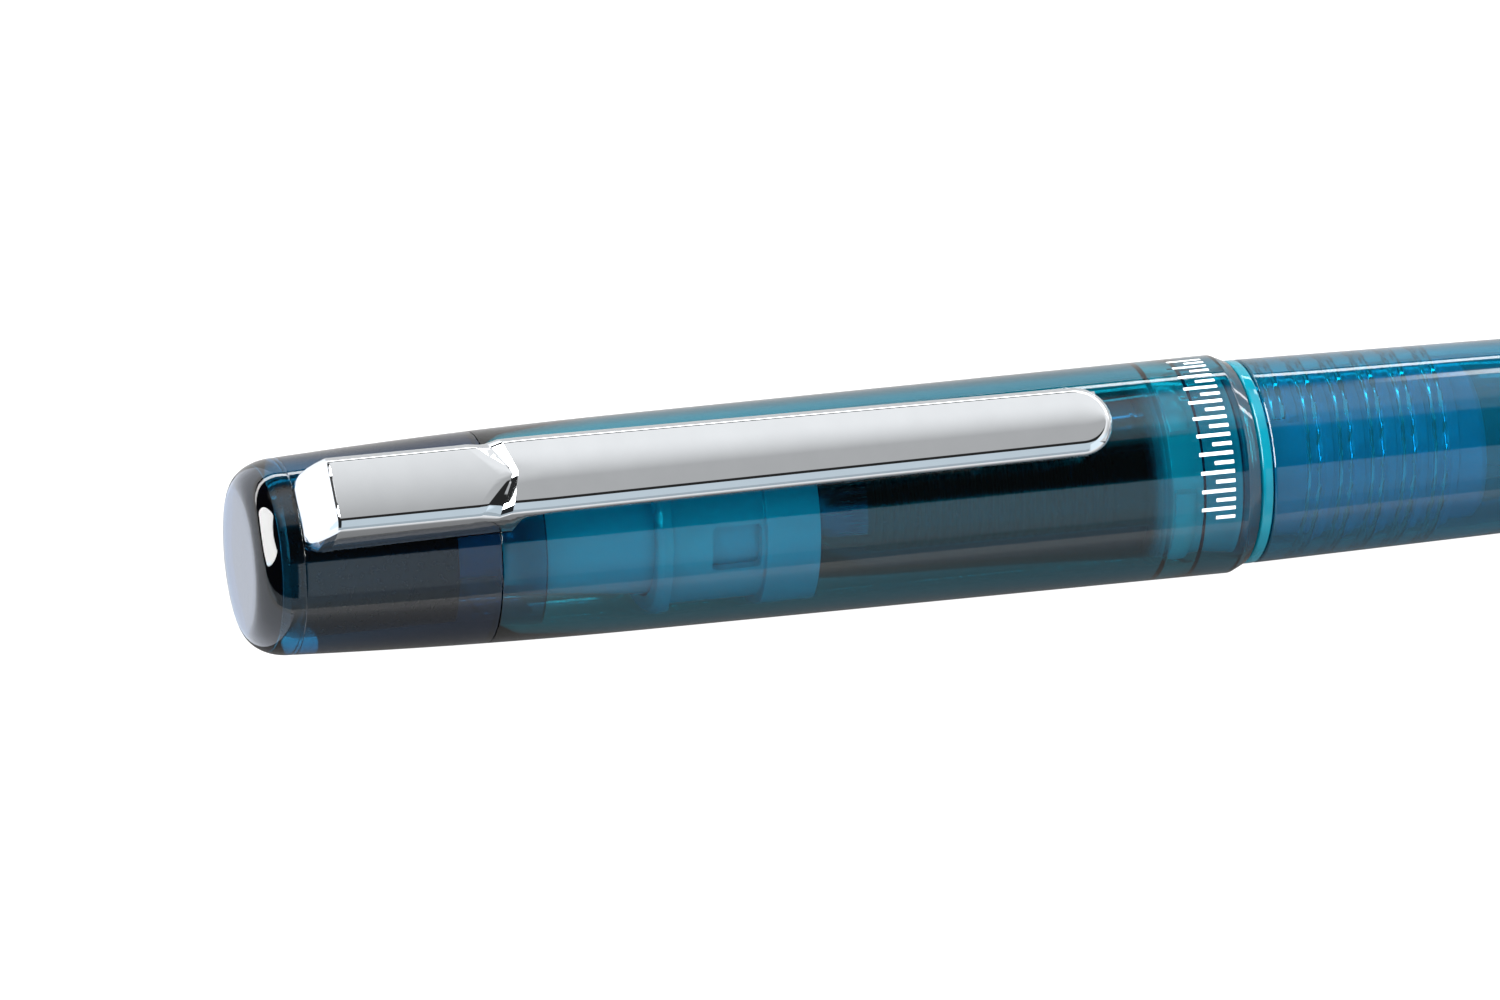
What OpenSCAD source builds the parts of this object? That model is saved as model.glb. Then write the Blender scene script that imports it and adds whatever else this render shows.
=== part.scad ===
// Capped cartridge fountain pen with a translucent barrel, a sprung inner cap and a pocket clip.
// It lies along X with the closed end of the cap at -X and the clip on top (+Z).
// Every place along the pen is a distance in mm from the closed end of the cap.

/* [Pen] */
// Length of the capped pen, closed end to tail
pen_l = 138; // [137:0.5:140]
// Radius of the cap at its lip, the widest round part
lip_r = 6.6; // [6.55:0.01:6.7]
// Smoothness of round parts
smooth = 96; // [48:8:128]

/* [Cap] */
// Length of the cap, closed end to lip
cap_l = 61.2; // [61.1:0.02:61.2]
// Length of the crown, the closed end piece that carries the clip
crown_l = 14.35; // [14.2:0.05:14.5]
// Radius of the bore of the cap tube
cap_bore_r = 5.65; // [5.64:0.01:5.68]
// Length over which the crown's edge is rounded
crown_edge_l = 2.5; // [2:0.1:2.6]
// Radius of the flat end face of the crown
crown_face_r = 4.1; // [3.9:0.1:4.6]

/* [Clip] */
// Place of the clip's tip
clip_end = 51.9; // [51.2:0.1:52.4]
// Width of the clip's pad on the crown
pad_w = 4.8; // [4.6:0.1:5]
// Width of the clip's tongue near its tip
tongue_w = 4.4; // [4.2:0.1:4.5]
// Height of the pad's top face over the pen's axis
pad_h = 8.6; // [8.5:0.05:8.65]
// Height of the tongue's top face over the pen's axis
tongue_h = 8.84; // [8.8:0.02:8.9]
// Thickness of the clip's sheet metal
sheet_t = 0.45; // [0.4:0.05:0.5]

/* [Section] */
// Place of the front end of the grip
grip_front = 34.1; // [34.1:0.02:34.2]
// Radius of the tube behind the collar that carries the thread
tube_r = 4.7; // [4.66:0.01:4.72]
// Place of the rear end of that tube
tube_end = 76; // [75.6:0.1:76.2]
// Thread pitch between section and barrel
pitch = 2.0; // [1.9:0.1:2.1]

/* [Feed] */
// Distance from one comb fin to the next
fin_pitch = 0.65; // [0.6:0.05:0.7]
// Number of comb fins
fins = 22; // [18:1:22]

/* [Barrel] */
// Radius of the barrel at its mouth
barrel_mouth_r = 6.15; // [6.12:0.01:6.2]
// Wall of the barrel behind the thread
barrel_wall = 0.85; // [0.8:0.01:0.88]

/* [Cartridge] */
// Outer radius of the ink cartridge
cartridge_r = 3.7; // [3.65:0.01:3.72]
// Place of the cartridge's closed end
cartridge_end = 129; // [127:0.5:129]

/* [Hidden] */

fit = 0.05;            // radial gap of pieces pushed or sliding into each other
seat = 0.1;            // gap between end faces of pieces that move apart

curve_end = 24;        // the cap tapers faster in front of this place
insert_end = 12;
insert_r = 4.9;
spring_chamber_r = 2.75;
spring_seat = 4.4;
stem_end = 9.6;        // end of the inner cap's stem, which the spring pushes on
clip_front = 2.65;
groove_at = 15.05;     // point of the V groove across the clip
cup_front = 15;
cup_wide = 24;
cup_r = 4.35;
cup_bore_r = 3.6;
sleeve_front = 24;
sleeve_end = 33.9;
sleeve_r = 5.1;
window_count = 4;

bore_r = 3.4;          // bore of the grip, which holds the feed
wall_front = 57.1;     // partition between feed and cartridge
wall_end = 58.6;
shoulder = 60.2;
socket_r = 3.95;       // bore of the threaded tube
lug_front = 56;
lug_end = 57.3;
lug_count = 4;
lug_arc = 54;
lug_turn = 66;         // turn of the first lug about the axis, from the top towards -Y

ring_front = 60.3;
ring_step = 61.3;
ring_end = 62;
mouth = 62.1;          // barrel's mouth
thread_bore_r = 5.2;
thread_zone_end = 77;
male_front = 64;
female_front = 63;
thread_turns = 5.5;
ridge_h = 0.35;
ridge_base = 0.8;
ridge_crest = 0.4;
turn_steps = 20;

nib_front = 17.4;
nib_shoulder = 31;
nib_tail = 37.4;
nib_t = 0.25;
nib_r = 3.3;
nib_tip_r = 1.6;
feed_front = 21.5;
feed_end = 56.9;
fin_front = 38.3;
fin_r = 3.33;
pipe_r = 1.6;
pipe_front = 53;
pipe_end = 77;
neck_front = 71.3;
neck_end = 73.3;
cartridge_wall = 0.5;
ink_level = 1.4;       // height of the ink's surface over the axis
ball_r = 1.5;
ball_at = 81;

// Outer radius of the cap at a place
function cap_r(a) = lip_r - 0.004 * (cap_l - a) - 0.00115 * pow(max(0, curve_end - a), 2);
// Outer radius of the barrel at a place
function barrel_r(a) = barrel_mouth_r - 0.0155 * (a - mouth) - 0.00006 * pow(a - mouth, 2);
// Quarter of an ellipse from an end face [a, r] out to the side, dir is 1 at the front, -1 at the tail
function rounded_edge(a, face_r, side_r, long, dir) =
    [for (t = [0:15:90]) [a + dir * long * (1 - cos(t)), face_r + (side_r - face_r) * sin(t)]];

// Moves a piece drawn about the pen's axis, at its place, into the pen's frame
module placed() {
    translate([-pen_l / 2, 0, lip_r]) children();
}

// Turns an outline of [place, radius] points about the pen's axis
module turned(outline) {
    placed() rotate([0, 90, 0]) rotate_extrude($fn = smooth)
        polygon([for (p = outline) [p[1], p[0]]]);
}

// A block between two places, of a width, between two heights over the axis
module block(from, to, w, low, high) {
    placed() translate([from, -w / 2, low]) cube([to - from, w, high - low]);
}

// A side outline of [place, height] points, given a width
module side_cut(outline, w) {
    placed() rotate([90, 0, 0]) linear_extrude(height = w, center = true) polygon(outline);
}

// A plan outline of [place, across] points, between two heights
module plan_cut(outline, low, high) {
    placed() translate([0, 0, low]) linear_extrude(height = high - low) polygon(outline);
}

// Children repeated about the pen's axis
module around(count, first) {
    for (i = [0:count - 1])
        translate([0, 0, lip_r]) rotate([first + i * 360 / count, 0, 0]) translate([0, 0, -lip_r])
            children();
}

// A right-hand helical ridge between the radii root and crest, whose first turn starts at front
module ridge(front, root, crest) {
    steps = round(thread_turns * turn_steps);
    section = [[root, -ridge_base / 2], [crest, -ridge_crest / 2],
               [crest, ridge_crest / 2], [root, ridge_base / 2]];
    points = [for (i = [0:steps], p = section)
        let (turn = 360 * i / turn_steps, a = front + pitch * i / turn_steps + p[1])
        [a, p[0] * cos(turn), p[0] * sin(turn)]];
    sides = [for (i = [0:steps - 1], k = [0:3])
        let (next = (k + 1) % 4)
        [4 * i + k, 4 * i + next, 4 * i + 4 + next, 4 * i + 4 + k]];
    ends = [[3, 2, 1, 0], [for (k = [0:3]) 4 * steps + k]];
    placed() polyhedron(points = points, faces = crest > root
        ? concat(sides, ends)
        : [for (f = concat(sides, ends)) [for (k = [len(f) - 1:-1:0]) f[k]]]);
}

module cap_tube() {
    lip_edge = 0.85;
    groove = 0.2;
    color("#0a7d9c", 0.6) turned(concat(
        [for (a = [crown_l + fit, 18, 22, 26, 34, 44, cap_l - lip_edge]) [a, cap_r(a)]],
        [[cap_l, lip_r - 0.4], [cap_l, cap_bore_r + 0.12], [cap_l - 0.5, cap_bore_r],
         [lug_end + 0.5, cap_bore_r], [lug_end + 0.3, cap_bore_r + groove],
         [lug_front - 0.3, cap_bore_r + groove], [lug_front - 0.6, cap_bore_r],
         [crown_l + fit, cap_bore_r]]));
}

module crown() {
    end_wall = 1.5;
    spigot_l = 2.9;
    color("#0a5f80", 0.7) difference() {
        turned(concat([[0, 0]],
            rounded_edge(0, crown_face_r, cap_r(crown_edge_l), crown_edge_l, 1),
            [for (a = [5, 7, 9, 11.5, crown_l]) [a, cap_r(a)]],
            [[crown_l, cap_bore_r - fit], [crown_l + spigot_l, cap_bore_r - fit],
             [crown_l + spigot_l, insert_r + fit], [end_wall, insert_r + fit], [end_wall, 0]]));
        block(2.95, 4.6, 3.3, 3, lip_r + 1);
    }
}

module crown_insert() {
    color("#101c2c") difference() {
        turned([[1.6, 0], [1.6, insert_r - 0.4], [2, insert_r], [insert_end, insert_r],
            [insert_end, spring_chamber_r], [spring_seat, spring_chamber_r], [spring_seat, 0]]);
        block(2.6, 9.2, 3.6, 3.3, lip_r);
    }
}

// Plan outline of the clip, drawn in by a margin
function clip_plan(in) =
    let (w = pad_w / 2 - in, root_w = pad_w / 2 + 0.05 - in, w2 = tongue_w / 2 - in,
         tip = clip_end - tongue_w / 2,
         side = [[clip_front + in, w - 0.7], [clip_front + 0.4 + in, w - 0.15],
                 [clip_front + 1, w], [groove_at - 1.2, w], [groove_at + 0.5, root_w]])
    concat([for (p = side) [p[0], -p[1]]],
           [for (t = [-90:15:90]) [tip + w2 * cos(t), w2 * sin(t)]],
           [for (i = [len(side) - 1:-1:0]) side[i]]);
// Top line of the clip's side view, drawn in by a margin
function clip_top(in) = [[clip_front + in, 6.0], [4.2 + in / 2, 8.35 - in], [4.6, pad_h - in],
    [groove_at - 0.8, pad_h - in], [groove_at + 0.6, tongue_h - in], [clip_end, tongue_h - in]];

module clip() {
    pad_low = 5;
    tongue_low = 7.6;
    reach = pad_w;
    foot_front = 3.3;
    foot_back = 8;
    foot_t = 0.7;
    foot_w = 2.8;
    foot_low = 3.7;
    foot_high = 6.9;
    bump_r = 5;
    bump_at = 47.7;
    bump_l = 6.8;
    bump_low = cap_r(bump_at) + seat;
    groove_deep = 0.25;
    color("#c9ccd1") {
        difference() {
            intersection() {
                side_cut(concat(clip_top(0), [[clip_end, tongue_low], [groove_at + 1.2, tongue_low],
                    [groove_at, pad_low], [clip_front, pad_low]]), 2 * reach);
                plan_cut(clip_plan(0), 0, 2 * lip_r);
            }
            intersection() {
                side_cut(concat(clip_top(sheet_t), [[clip_end, 0], [clip_front, 0]]), 2 * reach);
                plan_cut(clip_plan(sheet_t), 0, 2 * lip_r);
            }
            plan_cut([[groove_at - 2.5, -reach / 2 - 0.3], [groove_at - 0.9, -reach / 2 - 0.3],
                [groove_at + 0.1, 0], [groove_at - 0.9, reach / 2 + 0.3],
                [groove_at - 2.5, reach / 2 + 0.3], [groove_at - 0.1, 0]],
                pad_h - groove_deep, pad_h + 1);
            turned(concat([[1, 0]], [for (a = [1, 3, 6, 10, 16]) [a, cap_r(a) + seat]], [[16, 0]]));
        }
        block(foot_front, foot_front + foot_t, foot_w, foot_low, foot_high);
        block(foot_front, foot_back, foot_w, foot_low, foot_low + 0.6);
        intersection() {
            placed() translate([bump_at, 0, bump_low + bump_r]) rotate([90, 0, 0])
                cylinder(r = bump_r, h = tongue_w - 1.1, center = true, $fn = smooth);
            block(bump_at - bump_l / 2, bump_at + bump_l / 2, tongue_w, bump_low - 1,
                tongue_h - sheet_t / 2);
        }
    }
}

module inner_cap() {
    color("#18a0b8", 0.7) turned([[stem_end, 0], [stem_end, 2.1], [stem_end + 0.3, 2.4],
        [cup_front, 2.4], [cup_front, 3.0], [cup_front + 0.25, 3.4], [cup_front + 0.8, 3.6],
        [cup_wide, cup_r], [grip_front - seat, cup_r], [grip_front - seat, cup_bore_r],
        [cup_wide, cup_bore_r], [cup_front + 1.4, 2.9], [cup_front + 1.2, 2.5],
        [cup_front + 1.2, 0]]);
}

// The coil spring behind the inner cap, as the closed sleeve that it fills
module seal_spring() {
    coil_r = 2.1;
    wire = 0.35;
    color("#9aa0a8") turned([[spring_seat + fit, coil_r - wire], [spring_seat + fit, coil_r],
        [stem_end - fit, coil_r], [stem_end - fit, coil_r - wire]]);
}

module cap_sleeve() {
    in_r = cup_r + 0.1;
    ring_r = cap_bore_r - fit;
    ring_at = 30.6;
    color("#128ba6", 0.7) difference() {
        turned([[sleeve_front, in_r], [sleeve_front, ring_r - 0.3], [sleeve_front + 0.3, ring_r],
            [sleeve_front + 0.9, ring_r], [sleeve_front + 0.9, sleeve_r], [ring_at, sleeve_r],
            [ring_at, ring_r], [sleeve_end, ring_r], [sleeve_end, in_r]]);
        around(window_count, 45) block(ring_at - 3.2, ring_at - 0.2, 2.6, 3, lip_r);
    }
}

module section() {
    lug_r = cap_bore_r - fit;
    lug_low = 5;
    lug_edge = 0.3;
    color("#0b87a8", 0.6) union() {
        turned([[grip_front, bore_r], [grip_front, 4.0], [grip_front + 0.9, 4.45],
            [38, 4.6], [46, 4.8], [53, 5.1], [lug_front, 5.2], [shoulder, 5.3], [shoulder, tube_r],
            [tube_end - 0.4, tube_r], [tube_end, tube_r - 0.3], [tube_end, socket_r],
            [wall_end, socket_r], [wall_end, pipe_r + fit], [wall_front, pipe_r + fit],
            [wall_front, bore_r]]);
        intersection() {
            turned([[lug_front, lug_low], [lug_front, lug_r - 0.2], [lug_front + lug_edge, lug_r],
                [lug_end - lug_edge, lug_r], [lug_end, lug_r - 0.2], [lug_end, lug_low]]);
            around(lug_count, lug_turn)
                block(lug_front - 1, lug_end + 1, 2 * lug_r * sin(lug_arc / 2), 3, lip_r);
        }
        ridge(male_front, tube_r - 0.15, tube_r + ridge_h);
    }
}

module collar_ring() {
    color("#19b4c8", 0.8) turned([[ring_front, tube_r + fit], [ring_front, 5.3],
        [ring_front + 0.15, 5.45], [ring_step, 5.45], [ring_step, 6.0],
        [ring_step + 0.15, barrel_mouth_r], [ring_end, barrel_mouth_r], [ring_end, tube_r + fit]]);
}

module nib() {
    slit = 0.12;
    color("#b8bcc2") difference() {
        intersection() {
            turned([[nib_front, nib_tip_r - nib_t], [nib_front, nib_tip_r],
                [nib_shoulder, nib_r], [nib_tail, nib_r], [nib_tail, nib_r - nib_t],
                [nib_shoulder, nib_r - nib_t]]);
            plan_cut([[nib_front, -0.35], [21, -1.0], [25, -2.0], [29, -2.75], [nib_shoulder, -2.9],
                [33, -2.8], [nib_tail, -2.8], [nib_tail, 2.8], [33, 2.8], [nib_shoulder, 2.9],
                [29, 2.75], [25, 2.0], [21, 1.0], [nib_front, 0.35]], 0.2, 5);
        }
        block(nib_front - 1, 26, slit, 0, 5);
        placed() translate([26, 0, 0]) cylinder(r = 0.5, h = 5, $fn = 32);
    }
}

// Hard pellet welded to the nib's point
module nib_tip() {
    pellet_r = 0.4;
    color("#8d9298") intersection() {
        placed() translate([nib_front, 0, nib_tip_r - 0.3]) sphere(r = pellet_r, $fn = 32);
        block(nib_front - 1, nib_front, 2, 0, 3);
    }
}

module feed() {
    core_r = 2.3;
    fin_t = 0.35;
    under_nib = nib_r - nib_t - fit;
    front_r = nib_tip_r - nib_t - fit
        + (feed_front + 1 - nib_front) / (nib_shoulder - nib_front) * (nib_r - nib_tip_r);
    comb_end = fin_front + fins * fin_pitch;
    color("#14181d") turned(concat(
        [[feed_front, 0], [feed_front, 0.9], [feed_front + 1, front_r], [nib_shoulder, under_nib],
         [fin_front - 0.35, under_nib], [fin_front - 0.35, core_r]],
        [for (i = [0:fins - 1], p = [[0, core_r], [0, fin_r], [fin_t, fin_r], [fin_t, core_r]])
            [fin_front + i * fin_pitch + p[0], p[1]]],
        [[comb_end, core_r], [comb_end, fin_r], [feed_end - 0.5, fin_r], [feed_end, fin_r - 0.5],
         [feed_end, pipe_r + fit], [pipe_front - fit, pipe_r + fit], [pipe_front - fit, 0]]));
}

module ink_pipe() {
    channel_r = 0.6;
    color("#1c2228") turned([[pipe_front, channel_r], [pipe_front, pipe_r],
        [wall_end + fit, pipe_r], [wall_end + fit, 3], [wall_end + 0.9, 3],
        [wall_end + 0.9, pipe_r], [pipe_end - 0.8, pipe_r], [pipe_end, pipe_r - 0.5],
        [pipe_end, channel_r]]);
}

module cartridge() {
    cavity_r = cartridge_r - cartridge_wall;
    mouth_r = pipe_r + 0.07;
    color("#b9c4cc", 0.5) turned([[neck_front, mouth_r], [neck_front, 2.6], [neck_end, 2.6],
        [neck_end, cartridge_r - 0.3], [neck_end + 0.3, cartridge_r],
        [cartridge_end - 1.2, cartridge_r], [cartridge_end - 0.3, cartridge_r - 0.6],
        [cartridge_end, 2.4], [cartridge_end, 0], [cartridge_end - 0.6, 0],
        [cartridge_end - 0.6, cavity_r], [neck_end + 2, cavity_r], [neck_end + 2, mouth_r]]);
}

// Ball that closed the cartridge and was pushed into it
module cartridge_ball() {
    low = cartridge_r - cartridge_wall - ball_r - fit;
    color("#a8adb3") placed() translate([ball_at, 0, -low]) sphere(r = ball_r, $fn = 48);
}

module ink() {
    ink_r = cartridge_r - cartridge_wall - 0.03;
    front = neck_end + 2.03;
    low = cartridge_r - cartridge_wall - ball_r - fit;
    color("#101a4a") difference() {
        turned([[front, 0], [front, ink_r], [cartridge_end - 0.63, ink_r],
            [cartridge_end - 0.63, 0]]);
        block(front - 1, cartridge_end, 8, ink_level, 5);
        turned([[front - 1, 0], [front - 1, pipe_r + fit], [pipe_end + fit, pipe_r + fit],
            [pipe_end + fit, 0]]);
        placed() translate([ball_at, 0, -low]) sphere(r = ball_r + 0.03, $fn = 48);
    }
}

module barrel() {
    tail_edge_l = 1.6;
    tail_face_r = 3.1;
    end_wall = 1.6;
    side_end = pen_l - tail_edge_l;
    bore_end = pen_l - end_wall;
    color("#0a6fa0", 0.6) union() {
        turned(concat([[mouth, thread_bore_r + 0.15], [mouth, barrel_r(mouth) - 0.1],
                [mouth + 0.1, barrel_r(mouth)]],
            [for (a = [70, 80, 90, 100, 112, 124, side_end - 0.1]) [a, barrel_r(a)]],
            [for (i = [6:-1:0]) rounded_edge(pen_l, tail_face_r, barrel_r(side_end),
                tail_edge_l, -1)[i]],
            [[pen_l, 0], [bore_end, 0], [bore_end, 2.8], [bore_end - 0.8, 3.5]],
            [for (a = [134.5, 124, 112, 100, 90, 80]) [a, barrel_r(a) - barrel_wall]],
            [[thread_zone_end, thread_bore_r], [mouth + 0.15, thread_bore_r]]));
        ridge(female_front, thread_bore_r + 0.15, thread_bore_r - ridge_h);
    }
}

cap_tube();
crown();
crown_insert();
clip();
inner_cap();
seal_spring();
cap_sleeve();
section();
collar_ring();
nib();
nib_tip();
feed();
ink_pipe();
cartridge();
cartridge_ball();
ink();
barrel();
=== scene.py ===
"""A capped cartridge fountain pen in clear teal and blue plastic, lying on a pale floor.

Every place along the pen is in millimetres from the closed end of the cap. Heights are over the
pen's own axis, and a turn goes about that axis from the top (0) towards the viewer's side (90).
"""
from math import asin, cos, degrees, hypot, log, pi, radians, sin

import bmesh
import bpy
from mathutils import Matrix, Vector


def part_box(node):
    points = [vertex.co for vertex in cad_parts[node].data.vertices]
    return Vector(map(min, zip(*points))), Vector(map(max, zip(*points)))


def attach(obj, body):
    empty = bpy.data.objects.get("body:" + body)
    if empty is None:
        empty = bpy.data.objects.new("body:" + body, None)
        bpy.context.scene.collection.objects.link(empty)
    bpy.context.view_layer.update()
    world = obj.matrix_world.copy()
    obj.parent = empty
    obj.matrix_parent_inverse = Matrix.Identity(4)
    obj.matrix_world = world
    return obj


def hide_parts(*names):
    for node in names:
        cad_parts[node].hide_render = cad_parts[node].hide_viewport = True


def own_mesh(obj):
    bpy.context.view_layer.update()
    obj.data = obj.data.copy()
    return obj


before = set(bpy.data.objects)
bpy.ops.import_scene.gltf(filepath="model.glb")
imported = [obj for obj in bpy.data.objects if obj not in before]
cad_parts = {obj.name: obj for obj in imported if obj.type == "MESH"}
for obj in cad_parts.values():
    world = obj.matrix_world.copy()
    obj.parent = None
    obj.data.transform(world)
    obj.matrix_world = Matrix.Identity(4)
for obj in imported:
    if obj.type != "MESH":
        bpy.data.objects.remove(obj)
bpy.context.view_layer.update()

MM = 0.001
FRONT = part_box("crown")[0].x                                 # closed end of the cap
AXIS = (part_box("cap_tube")[0].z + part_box("cap_tube")[1].z) / 2
LIP = 61.2                                                   # open end of the cap
MOUTH = 62.1                                                 # open end of the barrel
TAIL = 138                                                   # closed end of the barrel
PITCH = 2.0                                                  # of the barrel's thread
STEPS = 160                                                  # sides of a turned piece
FINE = 192                                                   # sides of the large outer ones
THREADED = 180                                               # sides of a piece with a thread


# ---------------------------------------------------------------- places and outlines

def at(place, across, height):
    """A point in the frame from its place along the pen, its distance across and its height."""
    return Vector((FRONT + place * MM, across * MM, AXIS + height * MM))


def about(place, radius, turn):
    """A point on a circle about the pen's axis. The turn is in degrees."""
    return at(place, -radius * sin(radians(turn)), radius * cos(radians(turn)))


def between(low, high, count):
    """Evenly spaced values from low to high, both included."""
    return [low + (high - low) * i / count for i in range(count + 1)]


def cap_radius(place):
    """The cap tapers evenly from its lip, and then rounds in towards the crown."""
    rounding = max(0, 24 - place)
    return 6.6 - 0.004 * (LIP - place) - 0.00115 * rounding ** 2


def barrel_radius(place):
    """The barrel tapers a little faster the further back it goes."""
    back = place - MOUTH
    return 6.15 - 0.0155 * back - 0.00006 * back ** 2


def eased(outline, size):
    """The closed outline with each sharp corner eased by a small curve, as a mould leaves it. A
    corner on the pen's axis stays, and so does one that is nearly straight."""
    straight, longest_share = -0.94, 0.4
    done = []
    for i, corner in enumerate(outline):
        before, after = outline[i - 1], outline[(i + 1) % len(outline)]
        back = (before[0] - corner[0], before[1] - corner[1])
        on = (after[0] - corner[0], after[1] - corner[1])
        long_back, long_on = hypot(*back), hypot(*on)
        if corner[1] <= 0 or min(long_back, long_on) < 1e-6:
            done.append(corner)
            continue
        bend = (back[0] * on[0] + back[1] * on[1]) / (long_back * long_on)
        if bend < straight:
            done.append(corner)
            continue
        ease_back = min(size, longest_share * long_back) / long_back
        ease_on = min(size, longest_share * long_on) / long_on
        for t in (0, 0.25, 0.5, 0.75, 1):
            away, along = (1 - t) ** 2 * ease_back, t ** 2 * ease_on
            done.append((corner[0] + away * back[0] + along * on[0],
                         corner[1] + away * back[1] + along * on[1]))
    return done


# ---------------------------------------------------------------- meshes

def placed(name, data):
    """A new object in the scene that holds a mesh, light or camera."""
    made = bpy.data.objects.new(name, data)
    bpy.context.scene.collection.objects.link(made)
    return made


def smoothed(mesh, smooth_below):
    """Smooth shading, apart from edges that bend by more than an angle in degrees."""
    mesh.shade_smooth()
    mesh.set_sharp_from_angle(angle=radians(smooth_below))


def as_piece(name, points, faces, smooth_below=34):
    """A closed mesh object with its doubled points joined and its normals outward."""
    mesh = bpy.data.meshes.new(name)
    mesh.from_pydata([tuple(p) for p in points], [], faces)
    work = bmesh.new()
    work.from_mesh(mesh)
    bmesh.ops.remove_doubles(work, verts=work.verts, dist=1e-7)
    bmesh.ops.recalc_face_normals(work, faces=work.faces)
    work.to_mesh(mesh)
    work.free()
    smoothed(mesh, smooth_below)
    return placed(name, mesh)


def looped(name, rings, round_trip=True, ends=False, smooth_below=34):
    """Joins rings of points into a skin. A round trip joins the last ring to the first, and
    ends close a run of rings that doesn't come round."""
    size = len(rings[0])
    points = [p for ring in rings for p in ring]
    faces = []
    for k in range(len(rings) if round_trip else len(rings) - 1):
        here, there = k * size, (k + 1) % len(rings) * size
        for i in range(size):
            j = (i + 1) % size
            faces.append((here + i, here + j, there + j, there + i))
    if ends:
        faces.append(tuple(range(size)))
        faces.append(tuple(range((len(rings) - 1) * size, len(rings) * size)))
    return as_piece(name, points, faces, smooth_below)


def turned(name, outline, steps=STEPS, shape=None, smooth_below=34):
    """Turns a closed outline of (place, radius) about the pen's axis. A shape changes the
    radius at a place and turn, as for a thread or a lug."""
    rings = []
    for k in range(steps):
        turn = 360 * k / steps
        rings.append([about(place, shape(place, radius, turn) if shape else radius, turn)
                      for place, radius in outline])
    return looped(name, rings, smooth_below=smooth_below)


def block(name, low, high, ease=0.0):
    """A block between two corners given as (place, across, height), with eased edges."""
    corners = [at(x, y, z) for x in (low[0], high[0]) for y in (low[1], high[1])
               for z in (low[2], high[2])]
    faces = [(0, 1, 3, 2), (4, 6, 7, 5), (0, 4, 5, 1), (2, 3, 7, 6), (0, 2, 6, 4), (1, 5, 7, 3)]
    piece = as_piece(name, corners, faces)
    if ease:
        work = bmesh.new()
        work.from_mesh(piece.data)
        bmesh.ops.bevel(work, geom=work.edges, offset=ease * MM, segments=3, affect="EDGES",
                        profile=0.5)
        work.to_mesh(piece.data)
        work.free()
    return piece


def cut(piece, *tools, smooth_below=34):
    """Cuts the tools' shapes out of a piece and throws the tools away."""
    for tool in tools:
        step = piece.modifiers.new("cut", "BOOLEAN")
        step.operation = "DIFFERENCE"
        step.solver = "EXACT"
        step.object = tool
    bpy.context.view_layer.update()
    seen = piece.evaluated_get(bpy.context.evaluated_depsgraph_get())
    mesh = bpy.data.meshes.new_from_object(seen)
    piece.modifiers.clear()
    piece.data = mesh
    smoothed(mesh, smooth_below)
    for tool in tools:
        bpy.data.objects.remove(tool)
    return piece


def joined(name, *pieces, smooth_below=34):
    """Puts closed pieces that touch into one object."""
    work = bmesh.new()
    for piece in pieces:
        work.from_mesh(piece.data)
        bpy.data.objects.remove(piece)
    mesh = bpy.data.meshes.new(name)
    work.to_mesh(mesh)
    work.free()
    smoothed(mesh, smooth_below)
    return placed(name, mesh)


# ---------------------------------------------------------------- finishes

def linear(code):
    """Linear red, green and blue of an sRGB hex colour."""
    parts = [int(code[i:i + 2], 16) / 255 for i in (1, 3, 5)]
    return [v / 12.92 if v <= 0.04045 else ((v + 0.055) / 1.055) ** 2.4 for v in parts]


def colour(code):
    """The same with full opacity, as a colour socket takes it."""
    return (*linear(code), 1.0)


def node(tree, kind, inputs=None, **settings):
    """Adds a node with its settings. An input is a value, or the socket it is linked to."""
    made = tree.nodes.new(kind)
    for name, value in settings.items():
        setattr(made, name, value)
    for name, value in (inputs or {}).items():
        if isinstance(value, bpy.types.NodeSocket):
            tree.links.new(value, made.inputs[name])
        else:
            made.inputs[name].default_value = value
    return made


def finish_of(name, **fixed):
    """A new material with a Principled shader, and its tree, shader and object coordinates."""
    made = bpy.data.materials.new(name)
    made.use_nodes = True
    tree = made.node_tree
    shader = tree.nodes["Principled BSDF"]
    for socket, value in fixed.items():
        shader.inputs[socket.replace("_", " ")].default_value = value
    place = node(tree, "ShaderNodeTexCoord").outputs["Object"]
    return made, tree, shader, place


def surface(tree, shader, place, tones, grain_mm, bump_mm, rough, detail=3.0, stretch=(1, 1, 1)):
    """A tone and a roughness that vary between two values, and fine relief, with grain of a
    real size."""
    spread = node(tree, "ShaderNodeMapping", {"Vector": place, "Scale": stretch})
    grain = node(tree, "ShaderNodeTexNoise", {
        "Vector": spread.outputs["Vector"], "Scale": 1 / (grain_mm * MM), "Detail": detail})
    uneven = node(tree, "ShaderNodeMapRange", {
        "Value": grain.outputs["Fac"], "From Min": 0.3, "From Max": 0.7,
        "To Min": rough[0], "To Max": rough[1]})
    tree.links.new(uneven.outputs["Result"], shader.inputs["Roughness"])
    cloud = node(tree, "ShaderNodeMapRange", {
        "Value": grain.outputs["Fac"], "From Min": 0.3, "From Max": 0.7})
    tone = node(tree, "ShaderNodeMix", {
        0: cloud.outputs["Result"], 6: colour(tones[0]), 7: colour(tones[1])}, data_type="RGBA")
    tree.links.new(tone.outputs[2], shader.inputs["Base Color"])
    relief = node(tree, "ShaderNodeBump", {
        "Height": grain.outputs["Fac"], "Strength": 1.0, "Distance": bump_mm * MM})
    tree.links.new(relief.outputs["Normal"], shader.inputs["Normal"])


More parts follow.
